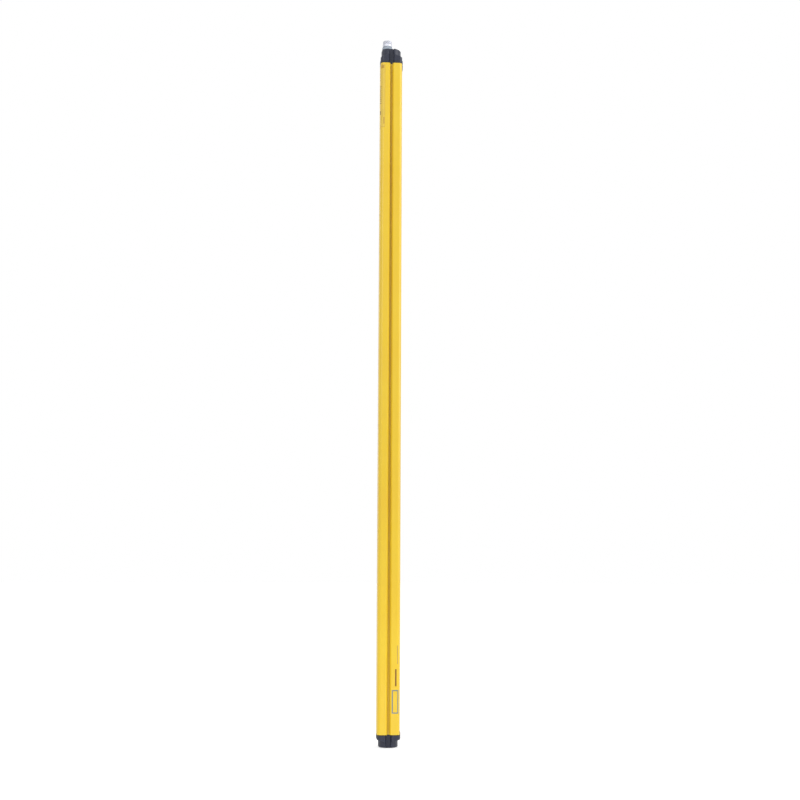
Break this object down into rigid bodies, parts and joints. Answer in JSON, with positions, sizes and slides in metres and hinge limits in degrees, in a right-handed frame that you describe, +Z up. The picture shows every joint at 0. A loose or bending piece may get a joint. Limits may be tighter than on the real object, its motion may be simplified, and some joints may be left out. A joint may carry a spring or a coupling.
{
  "type": "safety light curtain",
  "caption": "Upright sender bar of a safety light curtain: slotted aluminium housing with a dark front window, moulded end caps, beam optics inside and a round plug-in connector on top.",
  "frame": {"origin": "centre of the bottom cap's end face", "axes": "+Z up along the bar, the front window faces -Y, X across the bar"},
  "size_m": [0.052, 0.0571, 1.7811],
  "materials": {
    "yellow_coating": "satin powder coating",
    "window": "dark red tinted, gloss",
    "rubber": "matt",
    "black_plastic": "moulded, fine texture",
    "screw_steel": "plain",
    "connector_metal": "nickel plated",
    "insert_plastic": "matt",
    "contact_gold": "gold plated",
    "sleeve_plastic": "matt",
    "board_laminate": "solder mask, satin",
    "tube_plastic": "matt",
    "lens_clear": "polished",
    "led_clear": "polished",
    "chip_plastic": "matt",
    "header_plastic": "satin",
    "display_face": "gloss"
  },
  "bodies": {
    "root": {"beam_led_1": "led_clear", "beam_led_2": "led_clear", "beam_led_3": "led_clear", "beam_led_4": "led_clear", "beam_led_5": "led_clear", "beam_led_6": "led_clear", "beam_led_7": "led_clear", "beam_led_8": "led_clear", "beam_lens_1": "lens_clear", "beam_lens_2": "lens_clear", "beam_lens_3": "lens_clear", "beam_lens_4": "lens_clear", "beam_lens_5": "lens_clear", "beam_lens_6": "lens_clear", "beam_lens_7": "lens_clear", "beam_lens_8": "lens_clear", "beam_tube_1": "tube_plastic", "beam_tube_2": "tube_plastic", "beam_tube_3": "tube_plastic", "beam_tube_4": "tube_plastic", "beam_tube_5": "tube_plastic", "beam_tube_6": "tube_plastic", "beam_tube_7": "tube_plastic", "beam_tube_8": "tube_plastic", "board_link_1": "insert_plastic", "board_link_2": "insert_plastic", "board_link_3": "insert_plastic", "bottom_cap": "black_plastic", "bottom_cap_screws": "screw_steel", "bottom_gasket": "rubber", "circuit_board_1": "board_laminate", "circuit_board_2": "board_laminate", "circuit_board_3": "board_laminate", "circuit_board_4": "board_laminate", "connector_insert": "insert_plastic", "connector_lock_nut": "connector_metal", "connector_pins": "contact_gold", "connector_seal": "rubber", "connector_shell": "connector_metal", "connector_wires": "sleeve_plastic", "display_holder": "tube_plastic", "front_window": "window", "housing_profile": "yellow_coating", "power_module": "chip_plastic", "processor_1": "chip_plastic", "processor_2": "chip_plastic", "segment_display": "display_face", "top_cap": "black_plastic", "top_cap_screws": "screw_steel", "top_gasket": "rubber", "window_seal_left": "rubber", "window_seal_right": "rubber", "wiring_header": "header_plastic"}
  },
  "joints": []
}
